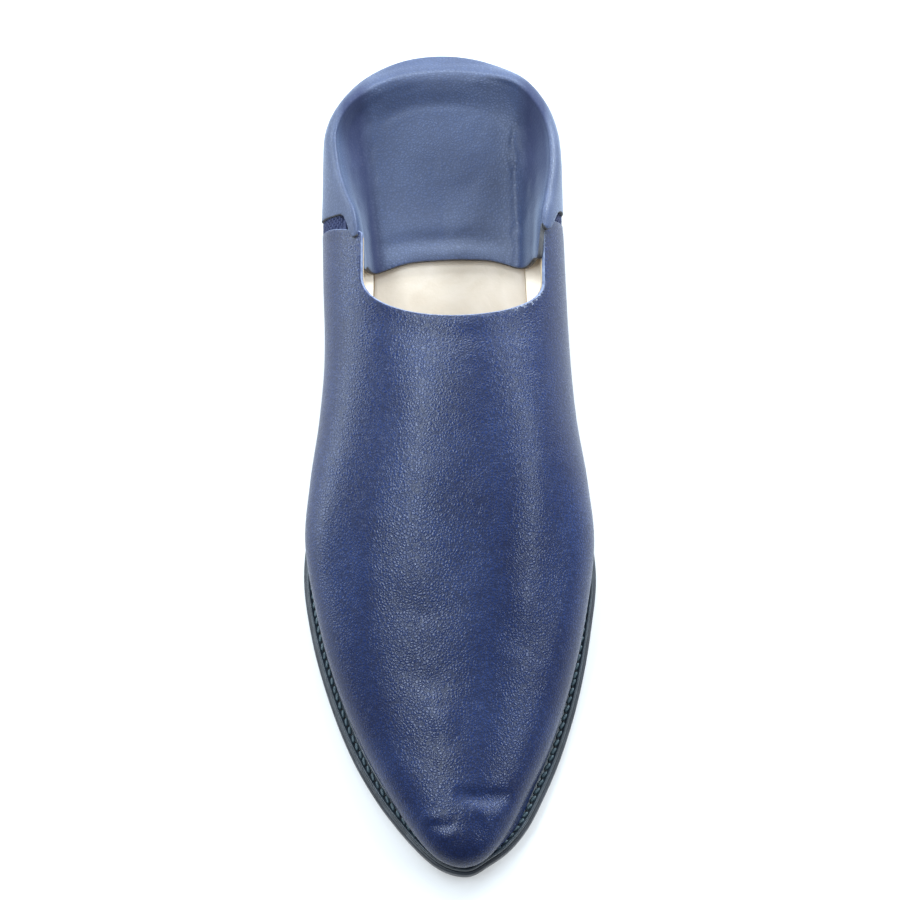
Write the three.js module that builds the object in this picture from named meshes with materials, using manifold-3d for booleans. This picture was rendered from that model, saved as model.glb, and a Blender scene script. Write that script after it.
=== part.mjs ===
// A babouche: a leather slipper with a pointed toe and its back folded in, for the right foot.
// Millimetres, +Z up, standing on z = 0. The toe points along -Y and the foot's inner side is at +X.
// The shapes are worked out with y measured from the sole's tip, and the group is centred at the end.
import * as THREE from 'three';
import { mergeVertices } from 'three/addons/utils/BufferGeometryUtils.js';
import Module from 'manifold-3d';

const wasm = await Module();
wasm.setup();

// Driving sizes.
const gap = 0.3;                 // between two pieces that touch
const outsoleThickness = 4.5;
const weltThickness = 2.2;
const insoleThickness = 1.7;
const wall = 2;                  // leather and lining of the upper
const weltInset = 0.9;           // welt edge behind the outsole edge
const toeSpring = 5;             // lift of the tip
const springStart = 62;          // where the toe leaves the floor
const heelRise = 3;              // seat above the ball
const waistStart = 130;
const heelBreast = 197;          // front face of the heel lift
const seam = 207;                // side seams, where the upper ends and the quarter starts
const tipMargin = 2;             // welt seen beyond the upper: at the tip, the forefoot and the heel
const foreMargin = 3.8;
const heelMargin = 2.4;
const tipFill = 3.2;             // leather gathered inside the tip, which the insole stops short of
const noseCut = 0.04;            // a lofted end stops this far short of its point

// Edge of the outsole: a row for each section, from the tip to the back of the heel.
const soleRows = [
  { y: 0, left: 7.2, right: 7.2 },
  { y: 3, left: -2.0, right: 13.8 },
  { y: 8, left: -7.7, right: 20.6 },
  { y: 15, left: -13.8, right: 26.4 },
  { y: 25, left: -21.1, right: 31.6 },
  { y: 40, left: -29.4, right: 37.8 },
  { y: 60, left: -37.0, right: 43.6 },
  { y: 80, left: -42.2, right: 47.2 },
  { y: 100, left: -44.4, right: 48.9 },
  { y: 125, left: -40.8, right: 44.6 },
  { y: 150, left: -33.4, right: 37.2 },
  { y: 175, left: -27.4, right: 32.0 },
  { y: 195, left: -25.8, right: 30.2 },
  { y: 215, left: -28.2, right: 29.9 },
  { y: 235, left: -30.4, right: 29.0 },
  { y: 250, left: -26.6, right: 25.2 },
  { y: 259, left: -17.6, right: 16.6 },
  { y: 264, left: -0.8, right: -0.8 },
];

// Sections of the upper: its widest points, their height above the welt, and the ridge of the instep.
const upperRows = [
  { y: 1.3, left: 6.4, right: 6.4, widestHeight: 3.2, ridgeX: 6.4, ridgeHeight: 3.2 },
  { y: 4, left: -1.6, right: 13.6, widestHeight: 3.6, ridgeX: 6.4, ridgeHeight: 8.6 },
  { y: 8, left: -5.8, right: 17.4, widestHeight: 4.0, ridgeX: 6.3, ridgeHeight: 11.4 },
  { y: 15, left: -11.0, right: 22.0, widestHeight: 4.4, ridgeX: 6.2, ridgeHeight: 14.2 },
  { y: 25, left: -17.2, right: 26.9, widestHeight: 5.0, ridgeX: 6.2, ridgeHeight: 17.2 },
  { y: 40, left: -25.4, right: 33.9, widestHeight: 6.0, ridgeX: 6.6, ridgeHeight: 20.8 },
  { y: 60, left: -33.8, right: 40.5, widestHeight: 7.6, ridgeX: 7.2, ridgeHeight: 25.4 },
  { y: 80, left: -39.5, right: 45.1, widestHeight: 9.4, ridgeX: 7.8, ridgeHeight: 30.4 },
  { y: 105, left: -43.8, right: 48.2, widestHeight: 11.6, ridgeX: 8.2, ridgeHeight: 36.4 },
  { y: 125, left: -42.3, right: 46.2, widestHeight: 13.0, ridgeX: 8.0, ridgeHeight: 40.4 },
  { y: 145, left: -39.4, right: 42.7, widestHeight: 14.0, ridgeX: 7.0, ridgeHeight: 42.8 },
  { y: 165, left: -37.8, right: 40.7, widestHeight: 14.4, ridgeX: 5.4, ridgeHeight: 43.4 },
  { y: 190, left: -38.3, right: 39.3, widestHeight: 14.4, ridgeX: 3.6, ridgeHeight: 42.4 },
  { y: 207, left: -38.7, right: 38.4, widestHeight: 14.0, ridgeX: 2.6, ridgeHeight: 40.6 },
];

// The throat's rounded opening, in plan.
const throatFront = 171.4;
const throatLeft = -25.6;
const throatRight = 31.6;
const throatLeftRadius = 15;
const throatRightRadius = 14;
const throatFloor = 26;          // the cutter's underside, above the tucked-in part of the walls

// Folds of the heel quarter: a row for each section round the heel, from the outer seam to the inner one.
// Each section runs from the lower edge out to the widest line, over the rim and down to the inner crease.
const quarterRows = [
  { lower: [-25.0, 208.0], widest: [-38.7, 208.0], rim: [-28.4, 208.0, 41.8], crease: [-22.3, 208.0] },
  { lower: [-26.2, 216.0], widest: [-38.5, 216.0], rim: [-31.2, 216.0, 38.4], crease: [-23.4, 216.0] },
  { lower: [-27.8, 228.0], widest: [-38.2, 228.0], rim: [-34.4, 228.0, 33.8], crease: [-24.6, 228.0] },
  { lower: [-27.6, 240.0], widest: [-37.6, 240.0], rim: [-34.6, 239.6, 30.4], crease: [-25.6, 239.5] },
  { lower: [-24.2, 249.3], widest: [-34.0, 250.3], rim: [-31.0, 249.2, 28.2], crease: [-24.8, 248.6] },
  { lower: [-17.6, 256.4], widest: [-26.5, 259.3], rim: [-24.0, 257.2, 26.8], crease: [-20.2, 255.4] },
  { lower: [-9.2, 260.2], widest: [-14.4, 266.2], rim: [-13.0, 262.8, 26.2], crease: [-11.0, 258.4] },
  { lower: [-0.8, 261.4], widest: [-0.8, 268.3], rim: [-0.8, 264.4, 26.2], crease: [-1.3, 259.2] },
  { lower: [7.8, 260.2], widest: [13.4, 266.4], rim: [11.6, 263.2, 26.2], crease: [8.8, 258.6] },
  { lower: [16.4, 256.2], widest: [26.0, 260.2], rim: [23.0, 258.0, 26.8], crease: [17.8, 255.6] },
  { lower: [22.9, 249.0], widest: [33.3, 251.0], rim: [30.2, 249.8, 28.4], crease: [22.6, 248.6] },
  { lower: [26.2, 239.5], widest: [36.5, 240.0], rim: [33.6, 239.6, 31.4], crease: [23.6, 239.4] },
  { lower: [27.4, 228.0], widest: [37.3, 228.0], rim: [34.0, 228.0, 35.2], crease: [24.8, 228.0] },
  { lower: [27.6, 216.0], widest: [38.0, 216.0], rim: [33.2, 216.0, 39.2], crease: [25.2, 216.0] },
  { lower: [27.8, 208.0], widest: [38.4, 208.0], rim: [32.2, 208.0, 41.8], crease: [25.2, 208.0] },
];
const widestShare = 0.48;        // height of the quarter's widest line, as a share of its rim's
const rollRadius = 2.9;          // of the folded rim
const flapFront = 202.4;         // free edge of the flap
const flapSag = 1.6;             // how far the flap's front corners lie ahead of its middle
const flapSeat = 0.8;            // how deep the flap's edge runs into the foot of the inner slope

// How fine the facets are.
const soleStations = 44;
const upperStations = 34;
const underPoints = 5;           // from the lower edge to the widest point
const overPoints = 13;           // from the widest point to the ridge
const quarterSteps = 3;          // stations for each row
const profilePoints = 24;
const cutSteps = 10;             // on each round corner of the throat

const { clamp, lerp, smoothstep } = THREE.MathUtils;

// Height that the sole's layers gain from toe spring and heel.
function lift(y) {
  const spring = toeSpring * Math.max(0, 1 - y / springStart) ** 2;
  return spring + heelRise * smoothstep(y, waistStart, heelBreast);
}

const weltTop = (y) => outsoleThickness + gap + weltThickness + lift(y);
const upperFoot = (y) => weltTop(y) + gap;
const insoleTop = (y) => weltTop(y) + gap + insoleThickness;

// How far the upper stands inside the sole's edge.
function margin(y) {
  const fore = lerp(tipMargin, foreMargin, smoothstep(y, 0, 30));
  return lerp(fore, heelMargin, smoothstep(y, 100, 160));
}

// A smooth curve through values at rising knots.
function curveThrough(knots, values) {
  const slopes = knots.map((_, i) => {
    const before = Math.max(i - 1, 0);
    const after = Math.min(i + 1, knots.length - 1);
    return (values[after] - values[before]) / (knots[after] - knots[before]);
  });
  return (at) => {
    let i = 0;
    while (i < knots.length - 2 && at > knots[i + 1]) i += 1;
    const span = knots[i + 1] - knots[i];
    const t = clamp((at - knots[i]) / span, 0, 1);
    const start = values[i] * (1 + 2 * t) + slopes[i] * span * t;
    const end = values[i + 1] * (3 - 2 * t) - slopes[i + 1] * span * (1 - t);
    return start * (1 - t) ** 2 + end * t ** 2;
  };
}

// A turn runs from 0 to pi over a length, slowly near both ends, so outlines close there as round noses.
const lengthAt = (turn, first, last) => first + (last - first) * (1 - Math.cos(turn)) / 2;
const turnAt = (y, first, last) => Math.acos(clamp(1 - 2 * (y - first) / (last - first), -1, 1));

// A column of a table as a function of y.
function column(rows, name) {
  const first = rows[0].y;
  const last = rows.at(-1).y;
  const curve = curveThrough(rows.map((row) => turnAt(row.y, first, last)), rows.map((row) => row[name]));
  return (y) => curve(turnAt(y, first, last));
}

const soleLength = soleRows.at(-1).y;
const soleX = { left: column(soleRows, 'left'), right: column(soleRows, 'right') };

// A point of the sole's edge in plan, moved inward by an inset that may depend on y.
function solePoint(side, turn, inset) {
  const step = 1e-3;
  const at = (angle) => {
    const y = lengthAt(angle, 0, soleLength);
    return new THREE.Vector2(soleX[side](y), y);
  };
  const point = at(turn);
  const along = at(Math.min(turn + step, Math.PI)).sub(at(Math.max(turn - step, 0))).normalize();
  const turnedIn = side === 'left' ? 1 : -1;
  const inward = new THREE.Vector2(along.y * turnedIn, -along.x * turnedIn);
  return point.addScaledVector(inward, inset(point.y));
}

// X of the inset sole edge at a given y, found by halving.
function insetX(side, y, inset) {
  let low = 0;
  let high = Math.PI;
  for (let i = 0; i < 40; i += 1) {
    const middle = (low + high) / 2;
    if (solePoint(side, middle, inset).y < y) low = middle;
    else high = middle;
  }
  return solePoint(side, (low + high) / 2, inset).x;
}

function stationsBetween(first, last, count) {
  const stations = [];
  for (let i = 0; i <= count; i += 1) stations.push(lengthAt(Math.PI * i / count, first, last));
  stations[0] += noseCut;
  stations[count] -= noseCut;
  return stations;
}

// Turns a list of triangles, each three points, into a geometry with shared vertices that faces outward.
function geometryFrom(triangles) {
  let volume = 0;
  for (const [a, b, c] of triangles) volume += a.dot(b.clone().cross(c));
  const facing = volume > 0 ? triangles : triangles.map(([a, b, c]) => [a, c, b]);
  const raw = new THREE.BufferGeometry();
  raw.setAttribute('position', new THREE.Float32BufferAttribute(facing.flat().flatMap((p) => p.toArray()), 3));
  return mergeVertices(raw, 1e-4);
}

// Two triangles for each cell of a grid of points.
function gridTriangles(grid) {
  const triangles = [];
  for (let i = 0; i + 1 < grid.length; i += 1) {
    for (let j = 0; j + 1 < grid[i].length; j += 1) {
      triangles.push([grid[i][j], grid[i + 1][j], grid[i + 1][j + 1]]);
      triangles.push([grid[i][j], grid[i + 1][j + 1], grid[i][j + 1]]);
    }
  }
  return triangles;
}

// The closed solid between two grids of the same size: a sheet with a face, a back and four edges.
function sheetBetween(face, back) {
  const turned = gridTriangles(back).map(([a, b, c]) => [a, c, b]);
  const sides = (grid) => [
    grid[0],
    grid.map((row) => row.at(-1)),
    [...grid.at(-1)].reverse(),
    grid.map((row) => row[0]).reverse(),
  ];
  const backSides = sides(back);
  const edges = sides(face).flatMap((side, i) => gridTriangles([backSides[i], side]));
  return geometryFrom([...gridTriangles(face), ...turned, ...edges]);
}

// A closed solid through rings of the same count, with a fan over each end.
function loftThrough(rings) {
  const closed = rings.map((ring) => [...ring, ring[0]]);
  const fan = (ring) => {
    const centre = ring.reduce((sum, p) => sum.add(p), new THREE.Vector3()).divideScalar(ring.length);
    return ring.map((p, i) => [centre, p, ring[(i + 1) % ring.length]]);
  };
  const start = fan(rings[0]);
  const end = fan(rings.at(-1)).map(([a, b, c]) => [a, c, b]);
  return geometryFrom([...gridTriangles(closed), ...start, ...end]);
}

// Each point of a grid moved along the surface's normal there.
function offsetGrid(grid, distance) {
  const pick = (i, j) => grid[clamp(i, 0, grid.length - 1)][clamp(j, 0, grid[0].length - 1)];
  return grid.map((row, i) => row.map((point, j) => {
    const along = pick(i + 1, j).clone().sub(pick(i - 1, j));
    const across = pick(i, j + 1).clone().sub(pick(i, j - 1));
    return point.clone().addScaledVector(along.cross(across).normalize(), distance);
  }));
}

function solidOf(geometry) {
  return new wasm.Manifold(new wasm.Mesh({
    numProp: 3,
    vertProperties: geometry.getAttribute('position').array,
    triVerts: new Uint32Array(geometry.index.array),
  }));
}

function geometryOf(solid) {
  const mesh = solid.getMesh();
  const geometry = new THREE.BufferGeometry();
  geometry.setAttribute('position', new THREE.BufferAttribute(mesh.vertProperties, 3));
  geometry.setIndex(new THREE.BufferAttribute(mesh.triVerts, 1));
  return geometry;
}

// A layer of the sole, flat across, between two heights that depend on y. It may start behind the tip.
function layer(inset, bottom, top, start) {
  const first = start ?? solePoint('left', 0, inset).y;
  const last = solePoint('left', Math.PI, inset).y;
  const stations = stationsBetween(first, last, soleStations);
  const across = (height) => stations.map((y) => ['left', 'right'].map(
    (side) => new THREE.Vector3(insetX(side, y, inset), y, height(y)),
  ));
  return sheetBetween(across(top), across(bottom));
}

// The thin block under the seat, on the floor.
function heelGeometry() {
  return layer(() => 0, () => 0, (y) => lift(y) - gap, heelBreast);
}

function outsoleGeometry() {
  return layer(() => 0, lift, (y) => outsoleThickness + lift(y));
}

function weltGeometry() {
  const bottom = (y) => outsoleThickness + gap + lift(y);
  return layer(() => weltInset, bottom, weltTop);
}

function insoleGeometry() {
  const filled = (y) => tipFill * (1 - smoothstep(y, 0, 30));
  return layer((y) => margin(y) + wall + gap + filled(y), upperFoot, insoleTop);
}

const upperTip = upperRows[0].y;
const upperColumn = {};
for (const name of ['left', 'right', 'widestHeight', 'ridgeX', 'ridgeHeight']) {
  upperColumn[name] = column(upperRows, name);
}

// The arch of the upper at y, from its lower edge on the left over the ridge to the one on the right.
function archAt(y) {
  const footTip = solePoint('left', 0, margin).y;
  const foot = upperFoot(y);
  const widest = foot + upperColumn.widestHeight(y);
  const ridge = foot + upperColumn.ridgeHeight(y);
  const ridgeX = upperColumn.ridgeX(y);
  const reached = Math.sqrt(clamp((y - upperTip) / (footTip - upperTip), 0, 1));
  const lowest = lerp(widest, foot, reached);
  const half = (side) => {
    const widestX = upperColumn[side](y);
    const footX = y > footTip + noseCut ? insetX(side, y, margin) : lerp(ridgeX, widestX, 0.3);
    const points = [];
    for (let i = 0; i < underPoints; i += 1) {
      const t = i / underPoints;
      const x = lerp(footX, widestX, Math.sin(t * Math.PI / 2));
      points.push(new THREE.Vector3(x, y, lerp(lowest, widest, t)));
    }
    for (let i = 0; i < overPoints; i += 1) {
      const angle = i / overPoints * Math.PI / 2;
      const x = ridgeX + (widestX - ridgeX) * Math.cos(angle);
      points.push(new THREE.Vector3(x, y, lerp(widest, ridge, Math.sin(angle))));
    }
    return points;
  };
  return [...half('left'), new THREE.Vector3(ridgeX, y, ridge), ...half('right').reverse()];
}

// The hollow inside the upper, running out below and behind it.
function upperHollow(arches) {
  const start = arches.findIndex((arch) => arch[0].y > upperTip + 1.5 * wall);
  const inner = offsetGrid(arches, wall).slice(start);
  const behind = inner.at(-1).map((p) => p.clone().setY(seam + 2 * wall));
  const below = (p) => p.clone().setZ(p.z - 2 * wall);
  return loftThrough([...inner, behind].map((arch) => [below(arch[0]), ...arch, below(arch.at(-1))]));
}

// The throat's outline in plan, drawn as a tall cutter.
function throatCutter() {
  const behind = seam + 3 * wall;
  const outline = new THREE.Shape();
  outline.moveTo(throatLeft, behind);
  outline.lineTo(throatLeft, throatFront + throatLeftRadius);
  const corner = (side, fromX, toX, radius) => {
    for (let i = 1; i <= cutSteps; i += 1) {
      const angle = i / cutSteps * Math.PI / 2;
      const reach = side === 'left' ? 1 - Math.cos(angle) : Math.sin(angle);
      const drop = side === 'left' ? Math.sin(angle) : 1 - Math.cos(angle);
      const x = lerp(fromX, toX, reach);
      outline.lineTo(x, side === 'left' ? throatFront + radius * (1 - drop) : throatFront + radius * drop);
    }
  };
  const middle = (throatLeft + throatRight) / 2;
  corner('left', throatLeft, middle, throatLeftRadius);
  corner('right', middle, throatRight, throatRightRadius);
  outline.lineTo(throatRight, behind);
  const cutter = new THREE.ExtrudeGeometry(outline, { depth: 60, bevelEnabled: false });
  cutter.translate(0, 0, throatFloor);
  cutter.deleteAttribute('normal');
  cutter.deleteAttribute('uv');
  return mergeVertices(cutter, 1e-4);
}

function upperGeometry() {
  const stations = stationsBetween(upperTip, 2 * seam - upperTip, 2 * upperStations)
    .slice(0, upperStations + 1);
  stations[upperStations] = seam;
  const arches = stations.map(archAt);
  const outside = solidOf(loftThrough(arches));
  const hollow = solidOf(upperHollow(arches));
  return geometryOf(outside.subtract(hollow).subtract(solidOf(throatCutter())));
}

// The quarter's visible face as a grid: stations round the heel, and points from the lower edge to the crease.
function quarterFace() {
  const curves = {};
  for (const name of ['lower', 'widest', 'rim', 'crease']) {
    const points = quarterRows.map((row) => new THREE.Vector3(row[name][0], row[name][1], row[name][2] ?? 0));
    curves[name] = new THREE.CatmullRomCurve3(points);
  }
  const count = quarterSteps * (quarterRows.length - 1);
  const grid = [];
  for (let i = 0; i <= count; i += 1) {
    const lower = curves.lower.getPoint(i / count);
    const widest = curves.widest.getPoint(i / count);
    const rim = curves.rim.getPoint(i / count);
    const crease = curves.crease.getPoint(i / count);
    const out = widest.clone().sub(crease).setZ(0).normalize();
    lower.z = upperFoot(lower.y);
    widest.z = lerp(lower.z, rim.z, widestShare);
    crease.z = insoleTop(crease.y) + gap + wall / 2;
    const outerRoll = rim.clone().addScaledVector(out, rollRadius).setZ(rim.z - rollRadius);
    const innerRoll = rim.clone().addScaledVector(out, -rollRadius).setZ(rim.z - rollRadius);
    const foot = crease.clone().addScaledVector(out, 0.8).setZ(crease.z + wall);
    const profile = new THREE.CatmullRomCurve3([lower, widest, outerRoll, rim, innerRoll, foot, crease]);
    grid.push(profile.getPoints(profilePoints - 1));
  }
  return grid;
}

// The flap that lies flat on the insole, from the crease round the heel to its free front edge.
function flapGeometry(face) {
  const creases = face.map((profile) => profile.at(-1));
  const crest = face.map((profile) => profile[0].clone().sub(profile.at(-1)).setZ(0).normalize());
  const edge = creases.map((p, i) => p.clone().addScaledVector(crest[i], flapSeat));
  const half = (edge.length - 1) / 2;
  const grid = (height) => {
    const rows = [];
    for (let i = 0; i < half; i += 1) {
      const left = edge[i].clone().setZ(height);
      const right = edge[edge.length - 1 - i].clone().setZ(height);
      rows.push([left, right]);
    }
    const across = [0, 0.25, 0.5, 0.75, 1];
    const front = across.map((t) => {
      const point = rows[0][0].clone().lerp(rows[0][1], t);
      return point.setY(flapFront - flapSag * (2 * t - 1) ** 2);
    });
    return [front, ...rows.map(([left, right]) => across.map((t) => left.clone().lerp(right, t)))];
  };
  const bottom = insoleTop(seam) + gap;
  return sheetBetween(grid(bottom + wall), grid(bottom));
}

function quarterGeometry() {
  const face = quarterFace();
  const band = solidOf(sheetBetween(face, offsetGrid(face, wall)));
  return geometryOf(band.add(solidOf(flapGeometry(face))));
}

function piece(name, geometry, color, roughness) {
  const mesh = new THREE.Mesh(geometry, new THREE.MeshStandardMaterial({ color, roughness, metalness: 0 }));
  mesh.name = name;
  return mesh;
}

const slipper = new THREE.Group();
slipper.add(piece('heel_lift', heelGeometry(), '#1d1f24', 0.6));
slipper.add(piece('outsole', outsoleGeometry(), '#1d1f24', 0.6));
slipper.add(piece('welt', weltGeometry(), '#1c2630', 0.55));
slipper.add(piece('insole', insoleGeometry(), '#e6ddc9', 0.7));
slipper.add(piece('upper', upperGeometry(), '#3f4c74', 0.45));
slipper.add(piece('heel_quarter', quarterGeometry(), '#5c6a8c', 0.45));

const bounds = new THREE.Box3().setFromObject(slipper);
const centre = bounds.getCenter(new THREE.Vector3());
slipper.position.set(-centre.x, -centre.y, 0);

export default slipper;
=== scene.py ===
import math

import bpy
import numpy as np
from mathutils import Matrix, Vector


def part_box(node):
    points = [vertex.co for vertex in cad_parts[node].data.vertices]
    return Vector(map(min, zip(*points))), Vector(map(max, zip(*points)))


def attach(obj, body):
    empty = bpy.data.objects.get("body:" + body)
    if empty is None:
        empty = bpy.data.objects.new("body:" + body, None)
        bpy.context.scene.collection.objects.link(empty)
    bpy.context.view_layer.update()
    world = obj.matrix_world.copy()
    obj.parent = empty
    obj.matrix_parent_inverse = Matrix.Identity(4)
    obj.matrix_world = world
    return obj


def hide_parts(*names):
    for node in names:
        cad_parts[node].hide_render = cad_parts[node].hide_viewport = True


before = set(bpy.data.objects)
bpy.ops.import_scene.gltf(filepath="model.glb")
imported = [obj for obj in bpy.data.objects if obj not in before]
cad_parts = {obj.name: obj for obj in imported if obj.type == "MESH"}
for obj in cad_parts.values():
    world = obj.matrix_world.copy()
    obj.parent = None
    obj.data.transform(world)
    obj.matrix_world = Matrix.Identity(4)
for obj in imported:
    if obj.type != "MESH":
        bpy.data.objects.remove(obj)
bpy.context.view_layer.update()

# The shoe is drawn in millimetres, with y from the sole's tip, and each mesh is moved onto the frame.
MM = 0.001
SIDES = ("left", "right")
GAP = 0.3               # between one layer of the sole and the next
OUTSOLE_THICK = 4.5
WELT_THICK = 2.2
INSOLE_THICK = 1.7
TOE_SPRING = 5.0        # how far the tip is lifted off the floor
SPRING_START = 62.0     # where the toe leaves the floor
HEEL_RISE = 3.0         # how far the heel lift raises the sole
WAIST_START = 130.0     # where the sole starts to rise
HEEL_BREAST = 197.0     # the heel lift's front edge
TIP_MARGIN = 2.0        # from the sole's edge inward to the upper's lower edge
FORE_MARGIN = 3.8
HEEL_MARGIN = 2.4
LEATHER = 1.25          # thickness of the upper's leather
LINING = 0.7
LINING_GAP = 0.02       # between the leather and its lining


def table(names, rows):
    """A short table as one array for each named column."""
    return dict(zip(names.split(), np.array(rows, float).T))


# The sole's outline in plan.
SOLE = table("y left right", [
    (0, 7.2, 7.2),
    (3, -2.0, 13.8),
    (8, -7.7, 20.6),
    (15, -13.8, 26.4),
    (25, -21.1, 31.6),
    (40, -29.4, 37.8),
    (60, -37.0, 43.6),
    (80, -42.2, 47.2),
    (100, -44.4, 48.9),
    (125, -40.8, 44.6),
    (150, -33.4, 37.2),
    (175, -27.4, 32.0),
    (195, -25.8, 30.2),
    (215, -28.2, 29.9),
    (235, -30.4, 29.0),
    (250, -26.6, 25.2),
    (259, -17.6, 16.6),
    (264, -0.8, -0.8),
])

# The vamp's widest lines in plan, their height above its lower edge, and its ridge.
UPPER = table("y left right widest ridge_x ridge", [
    (1.3, 6.4, 6.4, 3.2, 6.4, 3.2),
    (4, -1.6, 13.6, 3.6, 6.4, 8.6),
    (8, -5.8, 17.4, 4.0, 6.3, 11.4),
    (15, -11.0, 22.0, 4.4, 6.2, 14.2),
    (25, -17.2, 26.9, 5.0, 6.2, 17.2),
    (40, -25.4, 33.9, 6.0, 6.6, 20.8),
    (60, -33.8, 40.5, 7.6, 7.2, 25.4),
    (80, -39.5, 45.1, 9.4, 7.8, 30.4),
    (105, -43.8, 48.2, 11.6, 8.2, 36.4),
    (125, -42.3, 46.2, 13.0, 8.0, 40.4),
    (145, -39.4, 42.7, 14.0, 7.0, 42.8),
    (165, -37.8, 40.7, 14.4, 5.4, 43.4),
    (190, -38.3, 39.3, 14.4, 3.6, 42.4),
    (207, -38.7, 38.4, 14.0, 2.6, 40.6),
])

# The throat's front edge, its sides, and how far its rounded corners reach back.
THROAT = {"front": 171.4, "left": -26.1, "right": 32.4, "left_reach": 15.0, "right_reach": 14.0}

# Sections round the heel: lower edge, widest line, rim, foot of the inner slope, and crease on the insole.
# roll is the rim's radius, and fall is how far its inner side drops, in rolls.
QUARTER_COLUMNS = ("low_x low_y wide_x wide_y rim_x rim_y rim_z roll fall "
                   "foot_x foot_y foot crease_x crease_y")
QUARTER = table(QUARTER_COLUMNS, [
    (-24, 188, -39, 188, -26.5, 188, 43.8, 2.6, 1.3, -23.6, 188, 27.6, -21, 188),
    (-24.9, 208, -38.8, 208, -28.4, 208, 43.4, 2.6, 1.3, -25.2, 207, 26, -22, 206),
    (-26.2, 217, -38.5, 217, -31.4, 217, 39, 2.7, 1.3, -27, 217, 24.6, -23.2, 216),
    (-27.8, 228, -38.2, 228, -33.9, 228, 33.8, 2.6, 1.3, -28.8, 228, 22.8, -24.4, 227),
    (-27.6, 240, -37.3, 240, -34.4, 239.2, 30.4, 2.4, 1.2, -29.4, 237.6, 21.4, -24.6, 235.4),
    (-24.2, 249.3, -33.4, 249.7, -30.5, 247.9, 28.2, 2.5, 0.9, -27.2, 245.6, 22.2, -23.2, 242.6),
    (-17.6, 256, -26.4, 258.9, -22.8, 254.9, 25.2, 3.2, 0.25, -20.2, 251, 22.4, -17.4, 247.2),
    (-9.2, 259.8, -14.4, 265.7, -12.4, 259.4, 23.5, 3.6, -0.02, -11.2, 254.4, 22.4, -9.8, 249.8),
    (-0.8, 261, -0.8, 267.9, -0.8, 260.9, 23, 3.6, -0.08, -1, 255.4, 22.4, -1, 250.6),
    (7.8, 259.8, 13.2, 265.9, 11.4, 260, 23.7, 3.6, 0, 9.8, 254.8, 22.4, 8.4, 250),
    (16.4, 255.8, 25.6, 259.5, 22.8, 256.7, 26, 2.9, 0.4, 19.2, 252, 22.4, 16.2, 247.6),
    (22.9, 249, 32.8, 250.5, 30, 248.7, 28.4, 2.4, 0.9, 26, 245.6, 22.2, 21.8, 242.4),
    (26.2, 239.5, 36.3, 240, 33.7, 239.2, 31.4, 2.3, 1.2, 28.4, 237.4, 21.6, 23.2, 235),
    (27.4, 228, 37.3, 228, 34.6, 228, 35.2, 2.5, 1.3, 28.8, 228, 23, 24, 227),
    (27.6, 217, 38, 217, 33.5, 217, 39.4, 2.6, 1.3, 28.8, 217, 24.6, 24.6, 216),
    (27.8, 208, 38.4, 208, 32.2, 208, 43.4, 2.6, 1.3, 28.4, 207, 26, 24.8, 206),
    (27.8, 188, 38.5, 188, 31.2, 188, 43.6, 2.6, 1.3, 28.2, 188, 27.6, 24.8, 188),
])


# ---------------------------------------------------------------- curves and plan
def smoothstep(value, low, high):
    t = np.clip((value - low) / (high - low), 0, 1)
    return t * t * (3 - 2 * t)


def lerp(a, b, t):
    return a + (b - a) * t


def blend(start, end, start_slope, end_slope, span, t):
    """The smooth way from one knot to the next, at t from 0 to 1."""
    leaving = start * (1 + 2 * t) + start_slope * span * t
    coming = end * (3 - 2 * t) - end_slope * span * (1 - t)
    return leaving * (1 - t) ** 2 + coming * t ** 2


def hermite(knots, values, at):
    """A smooth curve through values at rising knots."""
    slopes = np.empty(len(knots))
    slopes[1:-1] = (values[2:] - values[:-2]) / (knots[2:] - knots[:-2])
    slopes[0] = (values[1] - values[0]) / (knots[1] - knots[0])
    slopes[-1] = (values[-1] - values[-2]) / (knots[-1] - knots[-2])
    i = np.clip(np.searchsorted(knots, at, side="right") - 1, 0, len(knots) - 2)
    span = knots[i + 1] - knots[i]
    t = np.clip((at - knots[i]) / span, 0, 1)
    return blend(values[i], values[i + 1], slopes[i], slopes[i + 1], span, t)


def turn_at(y, first, last):
    """0 to pi along a length, slow near both ends, so outlines close there as round noses."""
    return np.arccos(np.clip(1 - 2 * (y - first) / (last - first), -1, 1))


def length_at(turn, first, last):
    return first + (last - first) * (1 - np.cos(turn)) / 2


def column(rows, name, y):
    first, last = rows["y"][0], rows["y"][-1]
    return hermite(turn_at(rows["y"], first, last), rows[name], turn_at(np.asarray(y, float), first, last))


def lift(y):
    spring = TOE_SPRING * np.maximum(0, 1 - y / SPRING_START) ** 2
    return spring + HEEL_RISE * smoothstep(y, WAIST_START, HEEL_BREAST)


def welt_top(y):
    return OUTSOLE_THICK + GAP + WELT_THICK + lift(y)


def upper_foot(y):
    return welt_top(y) + GAP


def insole_top(y):
    return upper_foot(y) + INSOLE_THICK


def margin(y):
    fore = lerp(TIP_MARGIN, FORE_MARGIN, smoothstep(y, 0, 30))
    return lerp(fore, HEEL_MARGIN, smoothstep(y, 100, 160))


def sole_edge(side, turns, inset):
    """Points of the sole's edge in plan, and their inward normals, moved inward by inset(y)."""
    last = SOLE["y"][-1]
    step = 1e-3

    def at(turn):
        y = length_at(turn, 0, last)
        return np.stack([column(SOLE, side, y), y], -1)

    along = at(np.minimum(turns + step, math.pi)) - at(np.maximum(turns - step, 0))
    along /= np.linalg.norm(along, axis=-1, keepdims=True)
    sign = 1 if side == "left" else -1
    inward = np.stack([along[:, 1] * sign, -along[:, 0] * sign], -1)
    points = at(turns)
    amount = inset(points[:, 1]) if callable(inset) else inset
    return points + inward * np.reshape(amount, (-1, 1)), inward


DENSE = np.linspace(0, math.pi, 1800)      # turns along one side of the sole
FOOT_EDGES = {side: sole_edge(side, DENSE, margin)[0] for side in SIDES}


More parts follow.
